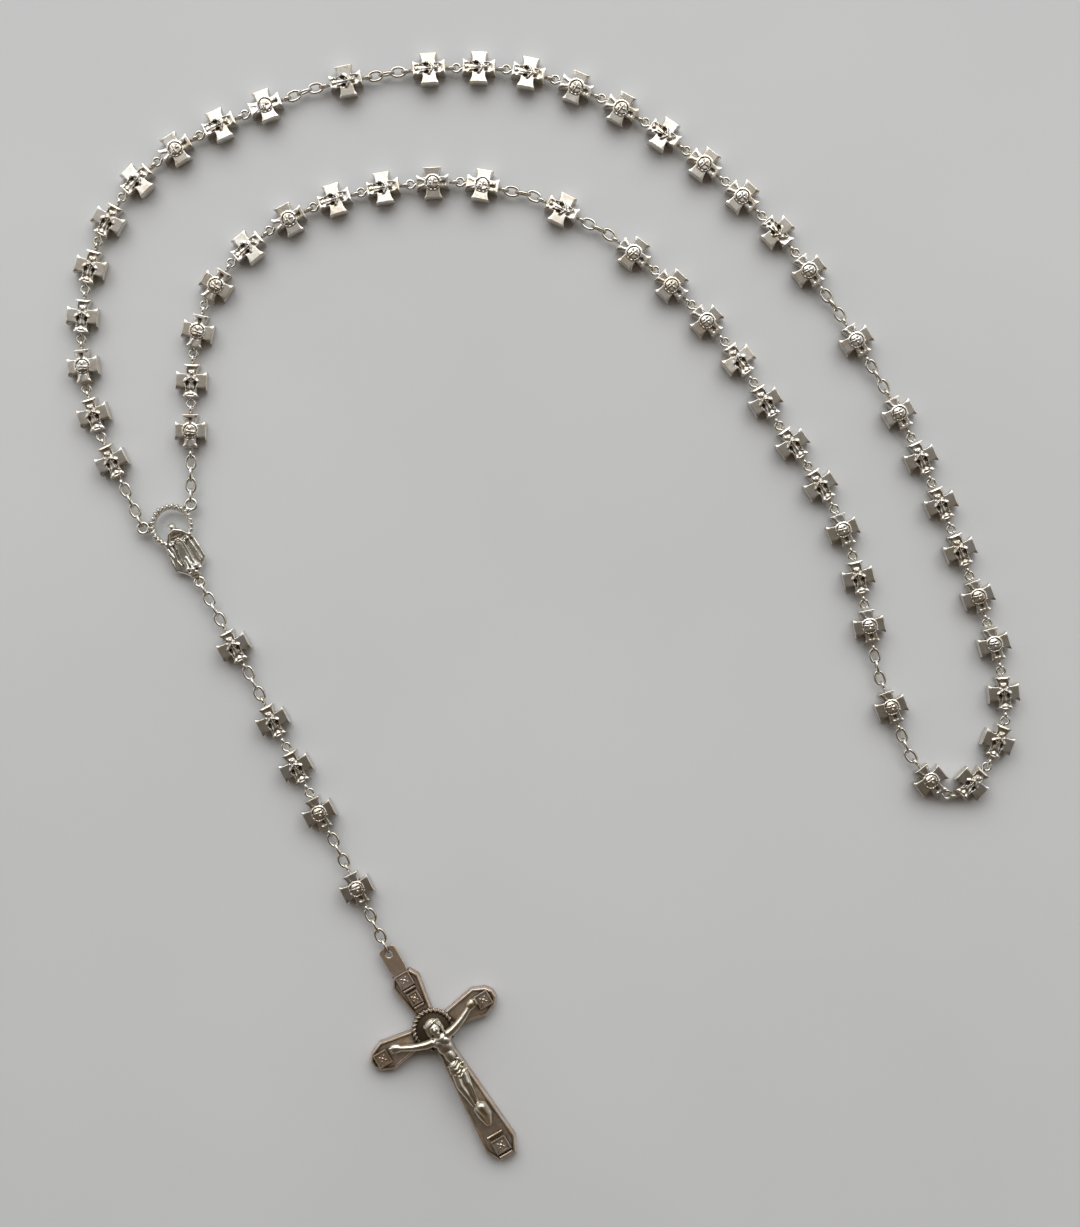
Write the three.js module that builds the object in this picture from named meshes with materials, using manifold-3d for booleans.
// A five-decade rosary lying flat on a table, in millimetres, +Z up.
// Every bead is a small cross with flared arms on an eye pin with a loop at each end. Beads of a decade
// hook loop in loop. Chain links lead to the single beads, to the centre medal and to the crucifix.
// Each bead piece hangs from the piece before it: the last loop of one stands upright, and the
// first loop of the next lies flat through it.

import * as THREE from 'three';
import { mergeVertices } from 'three/addons/utils/BufferGeometryUtils.js';
import Module from 'manifold-3d';

const wasm = await Module();
wasm.setup();

// Points of a shape that are closer than this are one point.
const WELD_DISTANCE = 1e-4;

// Beads and their eye pins. Two arms of a bead lie along the chain and two lie across it.
const BEAD_LENGTH = 7.6;
const BEAD_WIDTH = 7.2;
const BEAD_THICKNESS = 4.4;
const LONG_ARM_END_HALF = 1.7;
const CROSS_ARM_END_HALF = 2.1;
const BEAD_NOTCH = [1.6, 1.25];
const PIN_HEIGHT = BEAD_THICKNESS / 2;
const WIRE_RADIUS = 0.32;
const WIRE_SIDES = 4;
const EYE_RADIUS = 1.05;
const EYE_SIDES = 6;
const EYE_SUNK = 0.11;
const EYE_REACH = 2 * EYE_RADIUS + WIRE_RADIUS - EYE_SUNK;

// Chain links, measured on the centre line of their wire.
const LINK_LENGTH = 3.05;
const LINK_HALF_WIDTH = 1.1;
const LINK_SIDES = 8;

// Distance between two hooked wires: free to move, or joined into one piece.
const HOOKED = 0.8;
const JOINED = 0.45;

// Number of beads in a decade, in the short run of the pendant, and in the part of decade 3 that
// hangs on the outer arm.
const DECADE_BEADS = 10;
const PENDANT_BEADS = 3;
const OUTER_BEADS_OF_THIRD = 9;

// Centre medal, in its own axes: origin at the middle of the halo, +Y to the head.
const MEDAL_CENTRE = [-84.7, 18.4];
const MEDAL_TURN = THREE.MathUtils.degToRad(26.4);
const HALO_INNER = 3.7;
const HALO_OUTER = 5.0;
const HALO_HALF_DEPTH = 0.9;
const HALO_SIDES = 24;
const EAR_OUTER = 1.75;
const EAR_HOLE = 0.75;
const EAR_HALF_DEPTH = 0.7;
const EAR_SIDES = 12;
const EAR_PLACE = [6.1, 2.45];
const FOOT_EAR_PLACE = [0, -14.3];
const EAR_TO_LINK = 0.6;
const FIGURE_TOP = 1.8;
const MANTLE_HALF = [[0.7, -0.6], [1.5, -1.4], [3.4, -3.8], [3.5, -9.8], [1.8, -11.4], [0.9, -13.2]];
const GOWN_TOP = 2.4;
const GOWN_HALF = [[0.8, -1.6], [1.3, -4.0], [1.5, -11.2]];
const FIGURE_HEAD_RADIUS = 1.05;
const FIGURE_HEAD_HEIGHT = 1.3;
const HEAD_SIDES = 10;
const HEAD_RINGS = 7;

// Crucifix, in its own axes: origin where the limbs cross, +Y to the tongue.
const CRUCIFIX_TURN = THREE.MathUtils.degToRad(30.4);
const PLATE_THICKNESS = 2.7;
const TOP_LIMB_HALF = [[2.3, 14.8], [3.5, 12.6], [1.8, 1.8]];
const SIDE_LIMB = [[12.2, 3.7], [15.2, 2.4], [16.3, 0.9], [16.3, -0.9], [15.2, -2.4], [12.2, -3.7]];
const FOOT_LIMB_HALF = [[1.8, -1.8], [4.0, -30.4], [2.2, -34.0]];
const TONGUE_THICKNESS = 1.0;
const TONGUE_HALF = [[1.1, 21.6], [2.0, 20.6], [2.0, 14.6]];
const TONGUE_HOLE_AT = 19.95;
const TONGUE_HOLE_RADIUS = 0.85;
const TONGUE_HANGS_AT = 20.05;
const WREATH_INNER = 3.8;
const WREATH_OUTER = 5.1;
const WREATH_HEIGHT = 0.7;
const WREATH_SIDES = 24;
const PLAQUE_HEIGHT = 0.4;
const PLAQUE_SIZE = 3.4;
const PLAQUE_PLACES = [[0, 12.9], [0, 8.3], [13.3, 0], [-13.3, 0], [0, -30.6]];

// Corpus, a separate casting that stands off the cross.
const CORPUS_BASE = PLATE_THICKNESS + WREATH_HEIGHT + 0.3;
const CORPUS_BODY_DEPTH = 2.2;
const CORPUS_BODY_HALF = [
  [1.0, -0.4], [2.7, -1.2], [2.3, -3.6], [1.4, -7.2], [1.8, -10.8], [1.7, -12.6], [1.1, -19.9],
  [0.8, -22.8], [0.95, -25.2],
];
const CORPUS_ARM_DEPTH = 1.4;
const CORPUS_ARMS_HALF = [
  [0.8, -0.6], [6.0, 0.0], [9.4, 1.0], [10.6, 1.1], [10.9, -0.1], [6.2, -1.2], [2.3, -2.4],
];
const CORPUS_HEAD_RADIUS = 1.7;
const CORPUS_HEAD_SHAPE = [0.9, 1.25, 0.95];
const CORPUS_HEAD_PLACE = [0, 0.6, 5.5];

// Hand-placed points that the three runs of the chain lie along.
const OUTER_ROUTE = [
  [-98.2, 32.8], [-102.6, 43.3], [-105.1, 55.0], [-105.2, 66.6], [-103.2, 78.4], [-98.9, 89.4],
  [-91.8, 98.4], [-83.0, 105.2], [-72.4, 110.4], [-62.1, 114.9], [-44.5, 120.6], [-24.3, 122.8],
  [-12.7, 123.1], [-1.5, 121.7], [9.2, 118.0], [19.5, 113.0], [28.4, 107.4], [37.4, 100.6],
  [46.3, 93.2], [54.2, 84.7], [62.1, 75.8], [72.1, 59.8], [81.7, 43.8], [91.3, 22.7],
  [99.8, 1.3], [103.6, -9.9], [105.8, -21.4], [104.7, -31.9], [98.6, -39.9], [93.9, -44.6],
  [89.0, -49.0],
];
const INNER_ROUTE = [
  [-80.4, 40.3], [-80.1, 52.0], [-79.0, 63.5], [-74.3, 74.6], [-66.2, 83.1], [-56.3, 89.5],
  [-45.3, 93.7], [-33.7, 96.0], [-22.3, 97.0], [-11.0, 96.4], [7.4, 89.9], [23.9, 78.3],
  [32.7, 70.3], [40.6, 61.8], [47.5, 52.4], [53.0, 43.0], [59.3, 34.0], [65.3, 25.1],
  [69.8, 15.0], [72.8, 4.5], [74.9, -6.3], [79.4, -24.6], [87.7, -39.9], [92.4, -44.5],
  [97.5, -49.2],
];
const PENDANT_ROUTE = [
  [-70.3, -9.0], [-61.4, -26.4], [-56.1, -36.6], [-50.9, -46.8], [-42.6, -63.9], [-34.9, -79.7],
  [-31.0, -87.0],
];
const ROUTE_SAMPLES = 40000;

const BEAD_METAL = new THREE.MeshStandardMaterial({ color: 0xb9b6ae, roughness: 0.32, metalness: 1 });
const CROSS_METAL = new THREE.MeshStandardMaterial({ color: 0xa08f86, roughness: 0.45, metalness: 1 });

function toSolid(geometry) {
  geometry.deleteAttribute('normal');
  geometry.deleteAttribute('uv');
  const merged = mergeVertices(geometry, WELD_DISTANCE);
  const mesh = new wasm.Mesh({
    numProp: 3,
    vertProperties: new Float32Array(merged.attributes.position.array),
    triVerts: new Uint32Array(merged.index.array),
  });
  return new wasm.Manifold(mesh);
}

function toMesh(name, solid, material) {
  const { vertProperties, triVerts } = solid.getMesh();
  const geometry = new THREE.BufferGeometry();
  geometry.setAttribute('position', new THREE.BufferAttribute(vertProperties, 3));
  geometry.setIndex(new THREE.BufferAttribute(triVerts, 1));
  geometry.computeVertexNormals();
  const mesh = new THREE.Mesh(geometry, material);
  mesh.name = name;
  return mesh;
}

function join(solids) {
  return solids.reduce((whole, next) => whole.add(next));
}

// A flat outline in the XY plane, raised from one height to another.
function slab(outline, bottom, top) {
  const shape = new THREE.Shape(outline.map(([x, y]) => new THREE.Vector2(x, y)));
  const geometry = new THREE.ExtrudeGeometry(shape, { depth: top - bottom, bevelEnabled: false });
  geometry.translate(0, 0, bottom);
  return toSolid(geometry);
}

// The right half of an outline, from top to bottom, made whole by its mirror image.
function mirrored(half) {
  const left = half.map(([x, y]) => [-x, y]).reverse();
  return [...half, ...left];
}

function disc(radius, halfDepth, sides, [x, y]) {
  const geometry = new THREE.CylinderGeometry(radius, radius, 2 * halfDepth, sides);
  geometry.rotateX(Math.PI / 2);
  geometry.translate(x, y, 0);
  return toSolid(geometry);
}

function flatRing(inner, outer, bottom, top, sides) {
  const profile = [[inner, bottom], [outer, bottom], [outer, top], [inner, top], [inner, bottom]];
  const geometry = new THREE.LatheGeometry(profile.map(([r, z]) => new THREE.Vector2(r, z)), sides);
  geometry.rotateX(Math.PI / 2);
  return toSolid(geometry);
}

// A closed wire loop around the Z axis, pulled out along X by `stretch` each way.
function loopGeometry(radius, sides, stretch) {
  const corner = radius / Math.cos(Math.PI / sides);
  const geometry = new THREE.TorusGeometry(corner, WIRE_RADIUS, WIRE_SIDES, sides);
  geometry.rotateZ(Math.PI / sides);
  const position = geometry.attributes.position;
  for (let i = 0; i < position.count; i += 1) {
    const x = position.getX(i);
    const side = Math.abs(x) < WELD_DISTANCE ? 0 : Math.sign(x);
    position.setX(i, x + side * stretch);
  }
  return geometry;
}

// A loop whose near wire is at x = near. It lies flat, or stands upright.
function loopAt(near, length, geometry, upright) {
  if (upright) geometry.rotateX(Math.PI / 2);
  geometry.translate(near + length / 2, 0, 0);
  return toSolid(geometry);
}

function eyeAt(near, upright) {
  return loopAt(near, 2 * EYE_RADIUS, loopGeometry(EYE_RADIUS, EYE_SIDES, 0), upright);
}

function linkAt(near, upright) {
  const stretch = LINK_LENGTH / 2 - LINK_HALF_WIDTH;
  return loopAt(near, LINK_LENGTH, loopGeometry(LINK_HALF_WIDTH, LINK_SIDES, stretch), upright);
}

// A cross with flared arms, centred at x = centre.
function beadAt(centre) {
  const longCorner = [BEAD_LENGTH / 2, LONG_ARM_END_HALF];
  const upper = [[CROSS_ARM_END_HALF, BEAD_WIDTH / 2], BEAD_NOTCH, longCorner];
  const lower = upper.map(([x, y]) => [x, -y]).reverse();
  const outline = mirrored([...upper, ...lower]).map(([x, y]) => [centre + x, y]);
  return slab(outline, -BEAD_THICKNESS / 2, BEAD_THICKNESS / 2);
}

// One piece of the chain, built along +X from the upright wire it hangs on. Its first loop lies flat
// and its last stands upright, and every loop is a quarter turn from the one before it.
function chainPiece(headLinks, beads, tailLinks) {
  const solids = [];
  let near = -HOOKED;
  let upright = false;
  for (let i = 0; i < headLinks; i += 1) {
    solids.push(linkAt(near, upright));
    near += LINK_LENGTH - JOINED;
    upright = !upright;
  }
  let far = near;
  for (let i = 0; i < beads; i += 1) {
    solids.push(eyeAt(near, upright));
    const centre = near + EYE_REACH + BEAD_LENGTH / 2;
    solids.push(beadAt(centre));
    far = centre + BEAD_LENGTH / 2 + EYE_REACH;
    upright = i < beads - 1 || tailLinks % 2 === 0;
    solids.push(eyeAt(far - 2 * EYE_RADIUS, upright));
    near = far - JOINED;
    upright = !upright;
  }
  for (let i = 0; i < tailLinks; i += 1) {
    solids.push(linkAt(near, upright));
    far = near + LINK_LENGTH;
    near = far - JOINED;
    upright = !upright;
  }
  return { solid: join(solids), length: far };
}

// Lays the pieces end to end along a route, each turned to its own chord.
function layAlong(start, route, firstStep, pieces) {
  const points = [start, ...route].map(([x, y]) => new THREE.Vector3(x, y, 0));
  const samples = new THREE.CatmullRomCurve3(points).getPoints(ROUTE_SAMPLES);
  let pivot = points[0];
  let index = 0;
  const step = (length) => {
    while (samples[index].distanceTo(pivot) < length) index += 1;
    return samples[index].clone().sub(pivot).normalize();
  };
  const first = step(firstStep);
  pivot = pivot.clone().addScaledVector(first, firstStep);
  const placed = [];
  for (const piece of pieces) {
    const direction = step(piece.length);
    const turn = Math.atan2(direction.y, direction.x);
    placed.push({ ...piece, pivot, turn });
    pivot = pivot.clone().addScaledVector(direction, piece.length);
  }
  return { first, placed, end: pivot };
}

function decadePieces(decade, from, to, firstHead) {
  const pieces = [];
  for (let bead = from; bead <= to; bead += 1) {
    const run = bead - from;
    const headLinks = run === 0 ? firstHead : 0;
    const tailLinks = run === DECADE_BEADS - 1 ? 2 : 0;
    const label = `decade_${decade}_bead_${String(bead).padStart(2, '0')}`;
    pieces.push({ name: label, ...chainPiece(headLinks, 1, tailLinks) });
  }
  return pieces;
}

function singleBead(name, headLinks, tailLinks) {
  return { name, ...chainPiece(headLinks, 1, tailLinks) };
}

// The outer arm carries decades 1 and 2 and the first beads of decade 3.
function outerPieces() {
  return [
    ...decadePieces(1, 1, DECADE_BEADS, 3),
    singleBead('our_father_bead_2', 1, 2),
    ...decadePieces(2, 1, DECADE_BEADS, 1),
    singleBead('our_father_bead_3', 1, 2),
    ...decadePieces(3, 1, OUTER_BEADS_OF_THIRD, 1),
  ];
}

// The inner arm carries decades 5 and 4, numbered from the medal, and the last bead of decade 3.
function innerPieces() {
  return [
    ...decadePieces(5, 1, DECADE_BEADS, 3),
    singleBead('our_father_bead_5', 1, 2),
    ...decadePieces(4, 1, DECADE_BEADS, 1),
    singleBead('our_father_bead_4', 1, 2),
    ...decadePieces(3, DECADE_BEADS, DECADE_BEADS, 1),
  ];
}

function pendantPieces() {
  return [
    singleBead('our_father_bead_1', 3, 2),
    { name: 'pendant_hail_mary_beads', ...chainPiece(1, PENDANT_BEADS, 2) },
    singleBead('creed_bead', 1, 4),
  ];
}

function earRing([x, y]) {
  const hole = disc(EAR_HOLE, 2 * EAR_HALF_DEPTH, EAR_SIDES, [x, y]);
  return { rim: disc(EAR_OUTER, EAR_HALF_DEPTH, EAR_SIDES, [x, y]), hole };
}

// The link that is closed on an ear and leads off in the world direction `along`.
function earLink([x, y], along) {
  const geometry = loopGeometry(LINK_HALF_WIDTH, LINK_SIDES, LINK_LENGTH / 2 - LINK_HALF_WIDTH);
  geometry.rotateX(Math.PI / 2);
  geometry.translate(EAR_TO_LINK + LINK_LENGTH / 2, 0, 0);
  geometry.rotateZ(Math.atan2(along.y, along.x) - MEDAL_TURN);
  geometry.translate(x, y, 0);
  return toSolid(geometry);
}

// A standing figure with a spread mantle in front of an open halo, with an ear at each side for the
// loop of the chain and one at the foot for the pendant.
function medal(ears, directions) {
  const head = new THREE.SphereGeometry(FIGURE_HEAD_RADIUS, HEAD_SIDES, HEAD_RINGS);
  head.translate(0, 0, FIGURE_HEAD_HEIGHT);
  const rings = ears.map(earRing);
  const body = join([
    flatRing(HALO_INNER, HALO_OUTER, -HALO_HALF_DEPTH, HALO_HALF_DEPTH, HALO_SIDES),
    slab(mirrored(MANTLE_HALF), -PIN_HEIGHT, FIGURE_TOP),
    slab(mirrored(GOWN_HALF), 0, GOWN_TOP),
    toSolid(head),
    ...rings.map((ring) => ring.rim),
  ]);
  const pierced = rings.reduce((solid, ring) => solid.subtract(ring.hole), body);
  return join([pierced, ...ears.map((ear, i) => earLink(ear, directions[i]))]);
}

function medalToWorld([x, y]) {
  const c = Math.cos(MEDAL_TURN);
  const s = Math.sin(MEDAL_TURN);
  return [MEDAL_CENTRE[0] + c * x - s * y, MEDAL_CENTRE[1] + s * x + c * y];
}

function plaque([x, y]) {
  const box = new THREE.BoxGeometry(PLAQUE_SIZE, PLAQUE_SIZE, 2 * PLAQUE_HEIGHT);
  box.translate(x, y, PLATE_THICKNESS);
  return toSolid(box);
}

// A plate cross with flared limbs and cut corners, a wreath round the crossing, raised square
// plaques on the limbs and a pierced tongue at the top.
function cross() {
  const plate = slab(mirrored([...TOP_LIMB_HALF, ...SIDE_LIMB, ...FOOT_LIMB_HALF]), 0, PLATE_THICKNESS);
  const tongue = slab(mirrored(TONGUE_HALF), PLATE_THICKNESS - TONGUE_THICKNESS, PLATE_THICKNESS);
  const wreathBottom = PLATE_THICKNESS - WREATH_HEIGHT;
  const wreathTop = PLATE_THICKNESS + WREATH_HEIGHT;
  const wreath = flatRing(WREATH_INNER, WREATH_OUTER, wreathBottom, wreathTop, WREATH_SIDES);
  const hole = disc(TONGUE_HOLE_RADIUS, 2 * PLATE_THICKNESS, EAR_SIDES, [0, TONGUE_HOLE_AT]);
  return join([plate, tongue, wreath, ...PLAQUE_PLACES.map(plaque)]).subtract(hole);
}

// A figure with open arms: a body and arms of one thickness each, and a rounded head.
function corpus() {
  const head = new THREE.SphereGeometry(CORPUS_HEAD_RADIUS, HEAD_SIDES, HEAD_RINGS);
  head.scale(...CORPUS_HEAD_SHAPE);
  head.translate(...CORPUS_HEAD_PLACE);
  return join([
    slab(mirrored(CORPUS_BODY_HALF), CORPUS_BASE, CORPUS_BASE + CORPUS_BODY_DEPTH),
    slab(mirrored(CORPUS_ARMS_HALF), CORPUS_BASE, CORPUS_BASE + CORPUS_ARM_DEPTH),
    toSolid(head),
  ]);
}

function placePiece(piece) {
  const mesh = toMesh(piece.name, piece.solid, BEAD_METAL);
  mesh.position.set(piece.pivot.x, piece.pivot.y, PIN_HEIGHT);
  mesh.rotation.z = piece.turn;
  return mesh;
}

function buildRosary() {
  const leftEar = [-EAR_PLACE[0], EAR_PLACE[1]];
  const ears = [leftEar, EAR_PLACE, FOOT_EAR_PLACE];
  const routes = [OUTER_ROUTE, INNER_ROUTE, PENDANT_ROUTE];
  const chains = [outerPieces(), innerPieces(), pendantPieces()];
  const firstStep = EAR_TO_LINK + LINK_LENGTH;
  const laid = ears.map((ear, i) => layAlong(medalToWorld(ear), routes[i], firstStep, chains[i]));

  const group = new THREE.Group();
  group.name = 'rosary';
  const medalMesh = toMesh('centre_medal', medal(ears, laid.map((run) => run.first)), BEAD_METAL);
  medalMesh.position.set(...MEDAL_CENTRE, PIN_HEIGHT);
  medalMesh.rotation.z = MEDAL_TURN;
  group.add(medalMesh);
  for (const run of laid) {
    for (const piece of run.placed) group.add(placePiece(piece));
  }

  const crucifix = new THREE.Group();
  const hang = new THREE.Vector3(0, -TONGUE_HANGS_AT, 0);
  hang.applyAxisAngle(new THREE.Vector3(0, 0, 1), CRUCIFIX_TURN);
  crucifix.position.copy(laid[2].end).add(hang);
  crucifix.rotation.z = CRUCIFIX_TURN;
  crucifix.add(toMesh('crucifix_cross', cross(), CROSS_METAL));
  crucifix.add(toMesh('crucifix_corpus', corpus(), BEAD_METAL));
  group.add(crucifix);
  return group;
}

// The origin is the middle of the whole rosary, on the table.
const rosary = buildRosary();
rosary.updateMatrixWorld(true);
const middle = new THREE.Box3().setFromObject(rosary, true).getCenter(new THREE.Vector3());
rosary.position.set(-middle.x, -middle.y, 0);

export default rosary;
